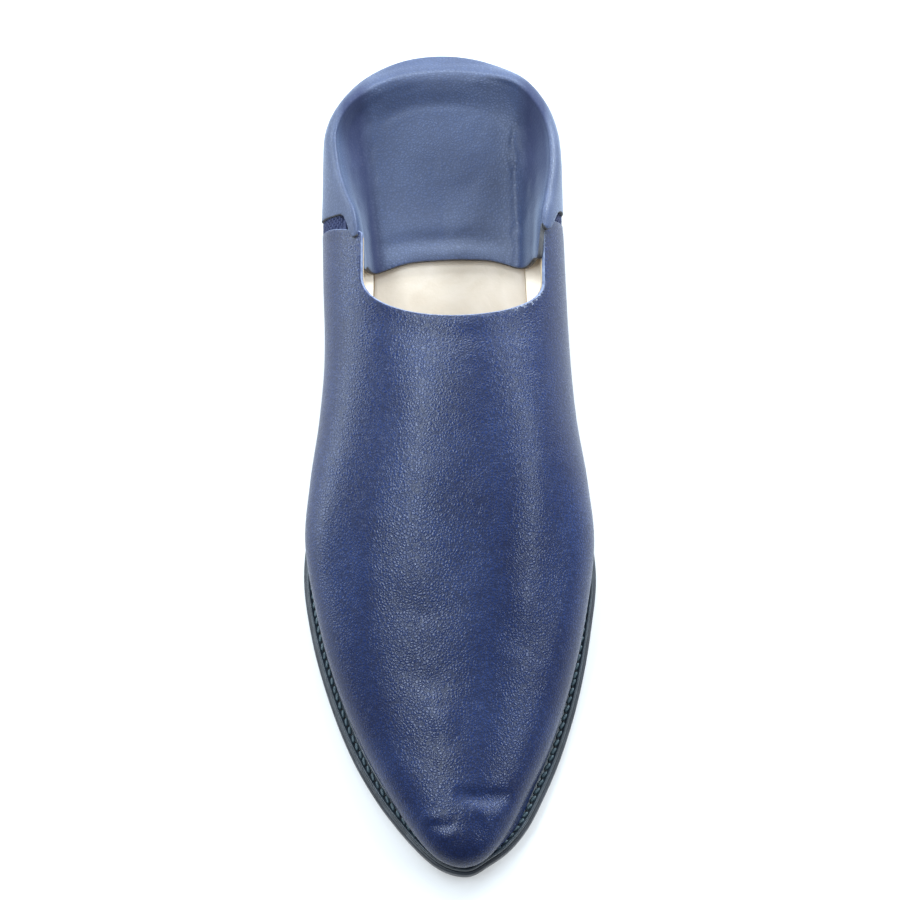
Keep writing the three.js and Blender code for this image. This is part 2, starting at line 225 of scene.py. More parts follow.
def foot_edge_x(side, y):
    """X of the upper's lower edge at each y."""
    return np.interp(y, FOOT_EDGES[side][:, 1], FOOT_EDGES[side][:, 0])


def outline_loop(inset, count):
    """A closed loop of plan points round the sole at an inset, evenly spaced, with inward normals."""
    left, left_in = sole_edge("left", DENSE, inset)
    right, right_in = sole_edge("right", DENSE[::-1], inset)
    points = np.concatenate([left, right])
    inward = np.concatenate([left_in, right_in])
    gaps = np.linalg.norm(np.diff(points, axis=0, append=points[:1]), axis=1)
    reach = np.concatenate([[0], np.cumsum(gaps)])
    places = np.linspace(0, reach[-1], count, endpoint=False)

    def pick(values):
        return np.stack([np.interp(places, reach[:-1], values[:, k]) for k in range(2)], -1)

    normal = pick(inward)
    return pick(points), normal / np.linalg.norm(normal, axis=1, keepdims=True)


def spline(controls, params):
    """A smooth curve through controls (k, n, 3) at params from 0 to k - 1, with centripetal knots."""
    gaps = np.sqrt(np.linalg.norm(np.diff(controls, axis=0), axis=-1)) + 1e-6
    slopes = np.diff(controls, axis=0) / gaps[..., None]
    tangents = np.empty_like(controls)
    before, after = gaps[:-1, :, None], gaps[1:, :, None]
    tangents[1:-1] = (slopes[:-1] * after + slopes[1:] * before) / (before + after)
    tangents[0], tangents[-1] = slopes[0], slopes[-1]
    rows = []
    for param in params:
        i = min(int(param), len(controls) - 2)
        span = gaps[i][:, None]
        rows.append(blend(controls[i], controls[i + 1], tangents[i], tangents[i + 1], span, param - i))
    return np.array(rows)


# ---------------------------------------------------------------- mesh building
def design_shift():
    """From the drawing's millimetres to the frame: the outsole's box gives both offsets."""
    low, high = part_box("outsole")
    ys = np.linspace(0, SOLE["y"][-1], 4000)
    left = column(SOLE, "left", ys).min()
    right = column(SOLE, "right", ys).max()
    shift_x = (low.x + high.x) / 2 / MM - (left + right) / 2
    shift_y = (low.y + high.y) / 2 / MM - SOLE["y"][-1] / 2
    return np.array([shift_x, shift_y, 0.0])


SHIFT = design_shift()


def add_object(name, data):
    obj = bpy.data.objects.new(name, data)
    bpy.context.scene.collection.objects.link(obj)
    return obj


def make_object(name, vertices, faces, materials, face_slots=None):
    mesh = bpy.data.meshes.new(name)
    placed = (np.asarray(vertices) + SHIFT) * MM
    mesh.from_pydata(placed.tolist(), [], [list(map(int, face)) for face in faces])
    mesh.polygons.foreach_set("use_smooth", [True] * len(mesh.polygons))
    for material in materials:
        mesh.materials.append(material)
    if face_slots is not None:
        mesh.polygons.foreach_set("material_index", face_slots)
    mesh.update()
    return add_object(name, mesh)


def surface_normals(grid):
    along = np.gradient(grid, axis=0)
    across = np.gradient(grid, axis=1)
    normal = np.cross(across, along)
    return normal / (np.linalg.norm(normal, axis=-1, keepdims=True) + 1e-9)


def clip_cells(face, keep):
    """The part of a grid where keep is positive, cut along its zero line: its corners and polygons.
    Each corner is given as pairs of a place in the flattened grid and that place's share."""
    rows, columns = keep.shape
    merge = {}
    names = np.empty((rows, columns), int)
    for i in range(rows):
        for j in range(columns):
            spot = tuple(np.round(face[i, j], 3))
            names[i, j] = merge.setdefault(spot, i * columns + j)
    flat = keep.reshape(-1)
    index, corners, polygons = {}, [], []

    def corner(key, weights):
        if key not in index:
            index[key] = len(corners)
            corners.append(weights)
        return index[key]

    for i in range(rows - 1):
        for j in range(columns - 1):
            cell = [names[i, j], names[i, j + 1], names[i + 1, j + 1], names[i + 1, j]]
            inside = [flat[c] > 0 for c in cell]
            if not any(inside):
                continue
            polygon = []
            for k in range(4):
                a, b = cell[k], cell[(k + 1) % 4]
                if inside[k]:
                    polygon.append(corner(a, ((a, 1.0),)))
                if inside[k] != inside[(k + 1) % 4]:
                    low, high = min(a, b), max(a, b)
                    share = flat[low] / (flat[low] - flat[high])
                    polygon.append(corner((low, high), ((low, 1 - share), (high, share))))
            polygon = [p for k, p in enumerate(polygon) if p != polygon[k - 1]]
            if len(set(polygon)) == len(polygon) and len(polygon) > 2:
                polygons.append(polygon)
    return corners, polygons


# A leather's cut edge: steps of share of the half thickness, and millimetres outward.
ROUND_EDGE = tuple((math.cos(math.pi * k / 4), 0.28 * math.sin(math.pi * k / 4)) for k in (1, 2, 3))


def outward_steps(border, top, under):
    """Unit directions out of a sheet at its border's corners, and zero at the others."""
    outward = np.zeros(top.shape)
    for a, b in border:
        push = np.cross(top[b] - top[a], top[a] - under[a])
        outward[a] += push
        outward[b] += push
    length = np.linalg.norm(outward, axis=1, keepdims=True)
    return np.where(length > 1e-9, outward / np.maximum(length, 1e-9), 0)


def leather_sheet(name, face, back, keep, materials, edge=ROUND_EDGE):
    """A sheet between two grids, cut where keep is not positive. Its cut edges have the second material,
    and its back has the third, or the last if there are fewer."""
    if keep is None:
        keep = np.ones(face.shape[:2])
    corners, polygons = clip_cells(face, keep)
    flat_face, flat_back = face.reshape(-1, 3), back.reshape(-1, 3)
    top = np.array([sum(share * flat_face[spot] for spot, share in weights) for weights in corners])
    under = np.array([sum(share * flat_back[spot] for spot, share in weights) for weights in corners])
    count = len(corners)
    directed = {(p[k], p[(k + 1) % len(p)]) for p in polygons for k in range(len(p))}
    border = sorted((a, b) for a, b in directed if (b, a) not in directed)
    outward = outward_steps(border, top, under)
    rim = sorted({v for ends in border for v in ends})
    vertices = [top, under]
    ring_index = [{v: v for v in rim}]
    offset = 2 * count
    middle, half = (top[rim] + under[rim]) / 2, (top[rim] - under[rim]) / 2
    for share, reach in edge:
        vertices.append(middle + half * share + outward[rim] * reach)
        ring_index.append({v: offset + k for k, v in enumerate(rim)})
        offset += len(rim)
    ring_index.append({v: v + count for v in rim})
    faces = list(polygons) + [[v + count for v in reversed(p)] for p in polygons]
    last_slot = len(materials) - 1
    slots = [0] * len(polygons) + [min(2, last_slot)] * len(polygons)
    for upper_ring, lower_ring in zip(ring_index, ring_index[1:]):
        for a, b in border:
            faces.append([upper_ring[b], upper_ring[a], lower_ring[a], lower_ring[b]])
            slots.append(min(1, last_slot))
    return make_object(name, np.concatenate(vertices), faces, materials, slots)


def loops_mesh(name, loops, materials):
    """Quads between closed loops of the same count."""
    count = len(loops[0])
    vertices = np.concatenate(loops)
    faces = []
    for k in range(len(loops) - 1):
        for i in range(count):
            j = (i + 1) % count
            faces.append([k * count + i, k * count + j, (k + 1) * count + j, (k + 1) * count + i])
    return make_object(name, vertices, faces, materials)


def relief(points, strokes):
    """Height of soft troughs and ridges at plan points. A stroke is a line of plan points with a width
    and a height: below zero it is a trough. Its ends fade."""
    height = np.zeros(points.shape[:-1])
    plan = points[..., :2]
    for line, width, amount in strokes:
        line = np.array(line, float)
        nearest = np.full(height.shape, 1e9)
        fade = np.ones(height.shape)
        lengths = np.linalg.norm(np.diff(line, axis=0), axis=1)
        total, run = lengths.sum(), 0.0
        for a, b, length in zip(line[:-1], line[1:], lengths):
            t = np.clip(((plan - a) @ (b - a)) / length ** 2, 0, 1)
            distance = np.linalg.norm(plan - (a + t[..., None] * (b - a)), axis=-1)
            closer = distance < nearest
            nearest = np.where(closer, distance, nearest)
            place = (run + t * length) / total
            fade = np.where(closer, np.sin(np.clip(place, 0.02, 0.98) * math.pi) ** 0.7, fade)
            run += length
        height += amount * fade * np.exp(-(nearest / width) ** 2)
    return height


# ---------------------------------------------------------------- materials
FINE_DEPTH = 0.05 * MM                # of pores and the finest wrinkles
PATCH_SCALE = 42.0                    # soft patches of tone
PORE_SCALE = 1100.0
PEBBLE_SCALE = 1050.0
PEBBLE_CROWN = 0.34                   # from a pebble's edge to its crown, as a share of its size
WARP_SCALE = 330.0                    # bends the pebbles' edges
WARP_REACH = 1.2 * MM
VALLEY_END = 0.75                     # share of a pebble's height where its valley's shade ends
# darkness of the painted shade in the pebbles' valleys, as a share of the dark tone
VALLEY_SHADE_TONE = 0.25
VALLEY_DULL = 0.12                    # added to the roughness in the valleys
SHEEN_BLUE = (0.70, 0.82, 1.0, 1)
# Painted shade in the heel's hollow folds beside the flap: where it lies, how dark it is and how much it
# dulls.
FOLD_FRONT_BACK = (58.0, 106.0)       # from the frame's middle to the folds' front and back ends
FOLD_CENTRES = (-2.6, 2.0)            # how far the flap's middle lies to the left, at front and back
FOLD_REACHES = (30.2, 33.0)           # from the flap's middle to the rims, at front and back
FOLD_START = (0.70, 0.82)             # shares of that reach between which a fold's shade begins
FOLD_END = (0.97, 1.04)
FOLD_TOP = (33.0, 40.0)               # heights between which the shade ends under the rim
FOLD_DULL = 0.30                      # added to the roughness in the folds
# colour of the painted shade in the folds
FOLD_SHADE_BLUE = (0.007, 0.012, 0.046)


def new_material(name):
    material = bpy.data.materials.new(name)
    material.use_nodes = True
    tree = material.node_tree
    tree.nodes.clear()
    output = tree.nodes.new("ShaderNodeOutputMaterial")
    shader = tree.nodes.new("ShaderNodeBsdfPrincipled")
    tree.links.new(shader.outputs["BSDF"], output.inputs["Surface"])
    return material, tree, shader


def set_inputs(node, values):
    for name, value in values.items():
        node.inputs[name].default_value = value


def object_coordinates(tree):
    return tree.nodes.new("ShaderNodeTexCoord").outputs["Object"]


def noise(tree, coordinates, scale, detail=3.0, roughness=0.5, distortion=0.0, output="Fac"):
    node = tree.nodes.new("ShaderNodeTexNoise")
    set_inputs(node, {"Scale": scale, "Detail": detail, "Roughness": roughness, "Distortion": distortion})
    tree.links.new(coordinates, node.inputs["Vector"])
    return node.outputs[output]


def ramp(tree, value, stops):
    node = tree.nodes.new("ShaderNodeValToRGB")
    elements = node.color_ramp.elements
    while len(elements) < len(stops):
        elements.new(0.5)
    for element, (position, colour) in zip(elements, stops):
        element.position = position
        element.color = (*colour, 1)
    tree.links.new(value, node.inputs["Fac"])
    return node.outputs["Color"]


def value_map(tree, value, low, high, to_low, to_high):
    node = tree.nodes.new("ShaderNodeMapRange")
    set_inputs(node, {"From Min": low, "From Max": high, "To Min": to_low, "To Max": to_high})
    tree.links.new(value, node.inputs["Value"])
    return node.outputs["Result"]


def bump(tree, height, distance, strength=1.0, under=None):
    node = tree.nodes.new("ShaderNodeBump")
    set_inputs(node, {"Strength": strength, "Distance": distance})
    tree.links.new(height, node.inputs["Height"])
    if under is not None:
        tree.links.new(under, node.inputs["Normal"])
    return node.outputs["Normal"]


def set_sockets(tree, sockets, values):
    """Link or set each socket, according to whether its value is another node's socket."""
    for socket, value in zip(sockets, values):
        if isinstance(value, bpy.types.NodeSocket):
            tree.links.new(value, socket)
        else:
            socket.default_value = value


def maths(tree, operation, *values):
    node = tree.nodes.new("ShaderNodeMath")
    node.operation = operation
    set_sockets(tree, node.inputs, values)
    return node.outputs["Value"]


def mix_colour(tree, factor, a, b):
    node = tree.nodes.new("ShaderNodeMix")
    node.data_type = "RGBA"
    colours = [(*value, 1) if isinstance(value, tuple) else value for value in (a, b)]
    set_sockets(tree, [node.inputs[0], node.inputs[6], node.inputs[7]], [factor, *colours])
    return node.outputs[2]


def fold_shade_mask(tree, place):
    """Painted shade: 1 in the hollow folds between the heel's side rims and the flap, and 0 elsewhere."""
    parts = tree.nodes.new("ShaderNodeSeparateXYZ")
    tree.links.new(place, parts.inputs["Vector"])

    def along(at_front, at_back):
        front, back = FOLD_FRONT_BACK
        return value_map(tree, parts.outputs["Y"], front * MM, back * MM, at_front * MM, at_back * MM)

    centred = maths(tree, "ADD", parts.outputs["X"], along(*FOLD_CENTRES))
    across = maths(tree, "ABSOLUTE", centred)
    share = maths(tree, "DIVIDE", across, along(*FOLD_REACHES))
    start = value_map(tree, share, *FOLD_START, 0.0, 1.0)
    end = value_map(tree, share, *FOLD_END, 1.0, 0.0)
    low, high = FOLD_TOP
    under_rim = value_map(tree, parts.outputs["Z"], low * MM, high * MM, 1.0, 0.0)
    return maths(tree, "MULTIPLY", maths(tree, "MULTIPLY", start, end), under_rim)


def pebbles(tree, place):
    """Height of the grain: 0 in the valleys between pebbles, and 1 on their crowns."""
    shifted = tree.nodes.new("ShaderNodeVectorMath")
    shifted.operation = "MULTIPLY_ADD"
    shifted.inputs[1].default_value = (WARP_REACH, WARP_REACH, WARP_REACH)
    tree.links.new(noise(tree, place, WARP_SCALE, 2.0, output="Color"), shifted.inputs[0])
    tree.links.new(place, shifted.inputs[2])
    cells = tree.nodes.new("ShaderNodeTexVoronoi")
    cells.feature = "DISTANCE_TO_EDGE"
    cells.inputs["Scale"].default_value = PEBBLE_SCALE
    tree.links.new(shifted.outputs["Vector"], cells.inputs["Vector"])
    return value_map(tree, cells.outputs["Distance"], 0.0, PEBBLE_CROWN, 0.0, 1.0)


def leather_material(name, tones, roughness, grain, specular, valley_shade, sheen=0.0, painted_fold_shade=False):
    """Grained calf: pebbles under 1 mm across with painted shade in their dull valleys, and soft patches of
    tone.
    """
    dark, middle, light = tones
    material, tree, shader = new_material(name)
    place = object_coordinates(tree)
    patches = noise(tree, place, PATCH_SCALE, 4.0, 0.55)
    tone = ramp(tree, patches, [(0.34, dark), (0.52, middle), (0.70, light)])
    speckle = noise(tree, place, PORE_SCALE, 2.0, 0.6)
    speckle_tone = ramp(tree, speckle, [(0.35, dark), (0.65, light)])
    colour = mix_colour(tree, 0.25, tone, speckle_tone)
    crown = pebbles(tree, place)
    valley_shade_share = value_map(tree, crown, 0.0, VALLEY_END, valley_shade, 0.0)
    # painted shade in the grain's valleys
    colour = mix_colour(tree, valley_shade_share, colour, tuple(VALLEY_SHADE_TONE * part for part in dark))
    dull = value_map(tree, crown, 0.0, VALLEY_END, roughness + VALLEY_DULL, roughness)
    if painted_fold_shade:
        fold_shade = fold_shade_mask(tree, place)
        # painted shade darkens the folds, and their roughness rises
        colour = mix_colour(tree, fold_shade, colour, FOLD_SHADE_BLUE)
        dull = maths(tree, "MULTIPLY_ADD", fold_shade, FOLD_DULL, dull)
    tree.links.new(colour, shader.inputs["Base Color"])
    tree.links.new(dull, shader.inputs["Roughness"])
    set_inputs(shader, {"Specular IOR Level": specular, "Sheen Weight": sheen, "Sheen Roughness": 0.35,
                        "Sheen Tint": SHEEN_BLUE})
    grained = bump(tree, crown, grain * MM, 1.0)
    tree.links.new(bump(tree, speckle, FINE_DEPTH, 0.5, grained), shader.inputs["Normal"])
    return material


def plain_material(name, dark, light, roughness, scale, depth=0.12):
    """Smooth or worn leather, thread and painted shade: two tones in soft patches, and fine wrinkles."""
    material, tree, shader = new_material(name)
    place = object_coordinates(tree)
    patches = noise(tree, place, scale, 5.0, 0.6, 0.6)
    tree.links.new(ramp(tree, patches, [(0.32, dark), (0.68, light)]), shader.inputs["Base Color"])
    dull = value_map(tree, patches, 0.3, 0.7, roughness + 0.08, roughness - 0.08)
    tree.links.new(dull, shader.inputs["Roughness"])
    fine = noise(tree, place, 1400.0, 3.0, 0.6)
    wide = noise(tree, place, 420.0, 3.0, 0.6, 0.8)
    lower = bump(tree, wide, depth * MM, 0.6)
    tree.links.new(bump(tree, fine, FINE_DEPTH, 0.6, lower), shader.inputs["Normal"])
    return material


BLUE_TONES = ((0.008, 0.014, 0.054), (0.012, 0.022, 0.076), (0.019, 0.033, 0.102))
SOFT_TONES = ((0.021, 0.032, 0.078), (0.028, 0.042, 0.096), (0.037, 0.054, 0.116))
BLUE = leather_material("blue_leather", BLUE_TONES, 0.27, grain=0.050, specular=0.34, valley_shade=0.70)
BLUE_SOFT = leather_material("blue_leather_folded_painted_shade", SOFT_TONES, 0.42, grain=0.030, specular=0.42, valley_shade=0.40,
                             sheen=0.30, painted_fold_shade=True)
BLUE_EDGE = plain_material("blue_cut_edge", (0.060, 0.075, 0.140), (0.16, 0.19, 0.28), 0.7, 500.0)
# The flap's cut edge: its own dark raw edge, darkened to near black with painted shadow beneath it.
FLAP_EDGE_AND_SHADOW = plain_material("flap_cut_edge_and_painted_shadow", (0.020, 0.022, 0.030), (0.055, 0.050, 0.050), 0.75, 500.0)
# The lining's cream is painted lighter than the insole's cream: painted light against the shade inside the
# vamp's walls.
CREAM_PAINTED_LIGHT = plain_material("cream_lining_painted_light", (0.88, 0.74, 0.60), (0.94, 0.84, 0.72), 0.6, 60.0, 0.10)
INSOLE_CREAM = plain_material("cream_insole", (0.42, 0.345, 0.27), (0.49, 0.415, 0.345), 0.7, 60.0, 0.10)
# Brown cut edges of the cream leathers; on the insole's edge the brown is painted shade for the thin gap
# along the lining.
CREAM_EDGE_AND_GAP_SHADE = plain_material("cream_cut_edge_and_gap_shade", (0.30, 0.20, 0.10), (0.50, 0.38, 0.24), 0.8, 300.0)
SOLE_BLACK = plain_material("sole_leather", (0.006, 0.008, 0.013), (0.017, 0.021, 0.030), 0.5, 120.0)
WELT_DARK = plain_material("welt_leather", (0.008, 0.013, 0.019), (0.024, 0.034, 0.046), 0.42, 220.0)
WELT_THREAD = plain_material("welt_thread", (0.014, 0.030, 0.040), (0.040, 0.066, 0.080), 0.55, 900.0)
# Painted shade: the black inside the welt's stitch holes.
HOLE_SHADE_BLACK = plain_material("stitch_hole_painted_shade", (0.002, 0.002, 0.003), (0.006, 0.006, 0.008), 0.9, 500.0)
NAVY_THREAD = plain_material("navy_thread", (0.002, 0.005, 0.032), (0.007, 0.015, 0.070), 0.75, 900.0)


# ---------------------------------------------------------------- vamp
VAMP_STATIONS = 230
UNDER_POINTS = 16       # along a section, from its lower edge to its widest line
OVER_POINTS = 56        # from the widest line to the ridge
NOSE_CUT = 0.04         # behind the lower edge's own tip, where the sections start to follow it
NOSE_FOOT = 0.3         # the lower edge before that, as a share of the way from ridge to widest line
LOW_WALL = UNDER_POINTS + 8                     # grid columns at each side that the throat never cuts
CLEAR = 5.0             # a keep value well outside the throat
SEAM_BACK = {"left": 204.9, "right": 208.0}     # where the vamp's leather ends at the side seams
SEAM_DROP = {"left": 3.2, "right": 2.6}         # how much further forward it ends at the throat's corners
SEAM_SPARE = 1.5        # how far the grid runs past the seams before it is cut
LINING_BACK = 1.0       # how far the lining ends short of the leather's edge at the seams
LINING_UP = 0.12        # the same at the throat
FADE_START = 4          # points below the widest line where the relief fades out
FADE_POINTS = 13


def arch_grid(ys):
    """The upper's outer surface: a row for each y, from the left lower edge over the ridge to the right."""
    first = UPPER["y"][0]
    foot_tip = sole_edge("left", np.array([0.0]), margin)[0][0, 1]
    foot = upper_foot(ys)
    widest = foot + column(UPPER, "widest", ys)
    ridge = foot + column(UPPER, "ridge", ys)
    ridge_x = column(UPPER, "ridge_x", ys)
    reached = np.sqrt(np.clip((ys - first) / (foot_tip - first), 0, 1))
    lowest = lerp(widest, foot, reached)
    halves = []
    for side in SIDES:
        wide_x = column(UPPER, side, ys)
        foot_x = np.where(ys > foot_tip + NOSE_CUT, foot_edge_x(side, ys), lerp(ridge_x, wide_x, NOSE_FOOT))
        t = np.linspace(0, 1, UNDER_POINTS, endpoint=False)[:, None]
        low = np.stack([lerp(foot_x, wide_x, np.sin(t * math.pi / 2)),
                        np.broadcast_to(ys, (UNDER_POINTS, len(ys))), lerp(lowest, widest, t)], -1)
        angle = np.linspace(0, math.pi / 2, OVER_POINTS, endpoint=False)[:, None]
        high = np.stack([ridge_x + (wide_x - ridge_x) * np.cos(angle),
                         np.broadcast_to(ys, (OVER_POINTS, len(ys))), lerp(widest, ridge, np.sin(angle))], -1)
        halves.append(np.concatenate([low, high]))
    crown = np.stack([ridge_x, ys, ridge], -1)[None]
    return np.concatenate([halves[0], crown, halves[1][::-1]]).transpose(1, 0, 2)


def throat_keep(grid):
    """Positive outside the throat's opening, in about millimetres."""
    middle = (THROAT["left"] + THROAT["right"]) / 2
    half = (THROAT["right"] - THROAT["left"]) / 2
    across = (grid[..., 0] - middle) / half
    reach = np.where(across < 0, THROAT["left_reach"], THROAT["right_reach"])
    along = np.maximum(0, THROAT["front"] + reach - grid[..., 1]) / reach
    keep = (np.hypot(across, along) - 1) * reach
    columns = np.arange(grid.shape[1])
    low = (columns < LOW_WALL) | (columns >= grid.shape[1] - LOW_WALL)
    return np.where(low[None, :], CLEAR, keep)


# Soft troughs and ridges of the vamp: plan line, width, height.
VAMP_STROKES = [
    ([(-26, 188), (-19, 177), (-8, 170.5), (6, 169.3), (20, 171.5), (29, 179)], 2.6, 0.22),
    ([(-24, 176), (-10, 166), (6, 164.6), (22, 167), (31, 176)], 3.4, -0.20),
    ([(-9, 160), (-8, 138), (-8, 116), (-7, 96)], 7.0, 0.45),
    ([(27, 158), (29, 136), (28, 116), (23, 98)], 7.0, 0.50),
    ([(10, 158), (10, 130), (10, 105), (9, 84)], 9.0, -0.45),
    ([(-22, 165), (-24, 140), (-26, 118), (-25, 92)], 7.0, -0.40),
    ([(38, 128), (38, 108), (36, 88), (32, 68)], 6.5, -0.85),
    ([(-31, 130), (-33, 108), (-32, 88), (-28, 70)], 6.5, -0.60),
    ([(-14, 96), (-8, 91), (0, 90)], 6.0, 0.22),
    ([(-17, 84), (-6, 79), (6, 79)], 4.0, -0.20),
    ([(14, 78), (26, 72), (33, 64)], 6.0, -0.30),
    ([(22, 92), (25, 82), (22, 70)], 6.0, 0.28),
    ([(-7.6, 79.5), (-6, 77.6), (-4.6, 77.2)], 1.2, -0.25),
    ([(-10, 55), (-2, 50), (6, 49)], 4.4, 0.26),
    ([(-6, 48), (0, 45), (5, 41)], 4.4, 0.40),
    ([(-14, 64), (-6, 58), (4, 57)], 3.6, -0.20),
    ([(-3, 36), (3, 34), (9, 35)], 3.6, 0.20),
    ([(-16, 44), (-10, 36), (-4, 30)], 4.4, -0.22),
    ([(3, 23.4), (11, 21.7), (19, 22.4), (23, 24)], 2.4, -0.80),
    ([(8, 18.4), (14, 16.9), (20, 18.2)], 2.5, 0.50),
    ([(12, 14.6), (16, 13.0)], 1.6, 0.22),
    ([(-7, 17.2), (-3.5, 15.6), (0, 16.4)], 1.9, 0.30),
    ([(-5, 13.8), (0, 12.9), (5, 13.8)], 1.6, -0.30),
    ([(-2.5, 11.2), (1, 10.2), (5, 11)], 1.9, 0.32),
]
# Fine wrinkles: seed, count, box corners in plan, length, width, height, angle and its spread in degrees.
VAMP_WRINKLES = [
    (5, 26, (-12, 10), (22, 60), 9, 1.3, -0.06, 25, 30),
    (6, 26, (-20, 60), (30, 158), 14, 2.2, -0.06, 15, 40),
    (7, 10, (-16, 162), (-6, 170), 6, 0.9, -0.05, 70, 20),
    (8, 10, (16, 162), (28, 172), 6, 0.9, -0.05, 110, 20),
]


def wrinkles(seed, count, low, high, length, width, amount, angle, spread):
    """Short strokes scattered in a plan box, all leaning about the same way."""
    random = np.random.default_rng(seed)
    strokes = []
    for _ in range(count):
        x, y = random.uniform(low, high)
        turn = math.radians(angle + random.uniform(-spread, spread))
        reach = length * random.uniform(0.6, 1.3) / 2
        step = np.array([math.cos(turn), math.sin(turn)]) * reach
        bow = np.array([-step[1], step[0]]) * random.uniform(-0.25, 0.25)
        middle = np.array([x, y])
        strokes.append(([middle - step, middle + bow, middle + step], width * random.uniform(0.8, 1.3),
                        amount * random.uniform(0.5, 1.2)))
    return strokes


def all_wrinkles(rows):
    return [stroke for row in rows for stroke in wrinkles(*row)]


def vamp_face():
    """The vamp's outer surface with its relief, which fades out low on the walls."""
    turns = np.linspace(0, math.pi / 2, VAMP_STATIONS)
    first = UPPER["y"][0]
    grid = arch_grid(length_at(turns, first + 0.01, 2 * (SEAM_BACK["right"] + SEAM_SPARE) - first))
    over = np.zeros(grid.shape[1])
    low = UNDER_POINTS - FADE_START
    over[low:-low] = 1
    padded = np.pad(over, FADE_POINTS // 2, mode="edge")
    over = np.convolve(padded, np.ones(FADE_POINTS) / FADE_POINTS, mode="valid")
    height = relief(grid, VAMP_STROKES + all_wrinkles(VAMP_WRINKLES)) * over[None, :]
    return grid + surface_normals(grid) * height[..., None]


def seam_line(face):
    """Y of the vamp's back edge at each point."""
    x = face[..., 0]
    left = SEAM_BACK["left"] - SEAM_DROP["left"] * smoothstep(x, -39, -25)
    right = SEAM_BACK["right"] - SEAM_DROP["right"] * smoothstep(-x, -39, -30)
    return np.where(x < 0, left, right)


def build_vamp():
    face = vamp_face()
    normals = surface_normals(face)
    seam = seam_line(face)
    keep = np.minimum(throat_keep(face), seam - face[..., 1])
    leather = leather_sheet("vamp_leather", face, face - normals * LEATHER, keep, [BLUE, BLUE_EDGE])
    inner = face - normals * (LEATHER + LINING_GAP)
    lining_keep = np.minimum(throat_keep(face) - LINING_UP, seam - LINING_BACK - face[..., 1])
    # the lining's cream carries painted light
    lining = leather_sheet("vamp_lining", inner, face - normals * (LEATHER + LINING), lining_keep,
                           [CREAM_PAINTED_LIGHT, CREAM_EDGE_AND_GAP_SHADE, CREAM_PAINTED_LIGHT])
    for piece, slot in ((leather, "upper"), (lining, "insole")):
        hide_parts("upper")
    return [leather, lining]


# ---------------------------------------------------------------- heel quarter
QUARTER_STATIONS = 12    # for each row of QUARTER
QUARTER_SEGMENTS = (10, 12, 8, 8, 10, 12, 9, 26)     # steps between one control line and the next
QUARTER_THICK = 1.5
FLAP_THINNER = 0.25      # share of the thickness that is pared off the flap
WIDEST_SHARE = 0.48      # height of the widest line, from the lower edge to the rim
ROLL_OUT = 1.1           # the rim's outer and inner sides, in rolls from its top
ROLL_IN = 0.62
SPINE_BACK = 232.0       # the flap's middle line, where its two halves meet
SPINE_FRONT = 188.0
NEAR_SHARE = 0.14        # the line next to the crease, as a share of the way to the middle line
FLAP_HEIGHT = 14.0
FLAP_CLIMB = 6.4
# Front edge of the flap in plan.
FLAP_FRONT = table("x y", [
    (-40, 194.2),
    (-30, 192.6),
    (-25.9, 193.6),
    (-22, 195.4),
    (-11.2, 199.2),
    (0, 200.3),
    (7.4, 200.5),
    (16, 200.0),
    (25, 197.4),
    (29, 196.2),
    (40, 199.0),
])
# Front edge of the quarter along its profile, from its lower edge over the rim: the wall stops at the side
# seam, a tab runs over the vamp, and the inner slope runs forward to the flap's front corner.
TAB_EDGE = table("at left right", [
    (0, 209.6, 211.8),
    (1.30, 209.2, 211.4),
    (1.62, 208.9, 210.4),
    (1.76, 208.7, 208.4),
    (1.90, 208.0, 205.2),
    (2.02, 204.6, 203.8),
    (2.20, 201.2, 203.0),
    (2.50, 199.9, 202.6),
    (2.85, 200.2, 203.4),
    (3.20, 200.6, 204.4),
    (3.45, 198.8, 202.4),
    (3.70, 191.6, 195.0),
    (4.0, 190.4, 193.8),
    (4.4, 191.2, 195.0),
    (5.0, 193.8, 197.0),
])

# Soft troughs and ridges of the flap and the folds beside it: plan line, width, height.
FLAP_STROKES = [
    ([(-23, 203.5), (-10, 206.4), (8, 207.4), (24, 204.6)], 3.0, -0.80),
    ([(-21, 198.2), (-8, 202.2), (8, 202.8), (23, 200.4)], 2.4, 0.45),
    ([(-24.2, 243), (-23.8, 230), (-22.8, 214), (-21.8, 197)], 1.8, -0.22),
    ([(-26.6, 240), (-26.6, 226), (-25.0, 212)], 1.0, -0.18),
    ([(22.2, 243), (23.4, 230), (24.0, 214), (24.4, 197)], 1.8, -0.22),
    ([(25.8, 240), (26.8, 226), (26.8, 210)], 1.0, -0.18),
    ([(-10, 240), (4, 236), (12, 228)], 7.0, 0.20),
    ([(-12, 222), (0, 219), (12, 221)], 6.0, -0.18),
]
FLAP_WRINKLES = [
    (11, 60, (-31, 200), (-22, 246), 7, 0.8, -0.12, 84, 14),
    (12, 60, (22, 200), (31, 246), 7, 0.8, -0.12, 96, 14),
    (13, 16, (-14, 205), (14, 246), 10, 1.8, -0.05, 20, 60),
]


def flap_height(y):
    """The flap lies flat on the insole in front, and climbs softly to the folded back edge."""
    return FLAP_HEIGHT + FLAP_CLIMB * smoothstep(y, 208, 256)


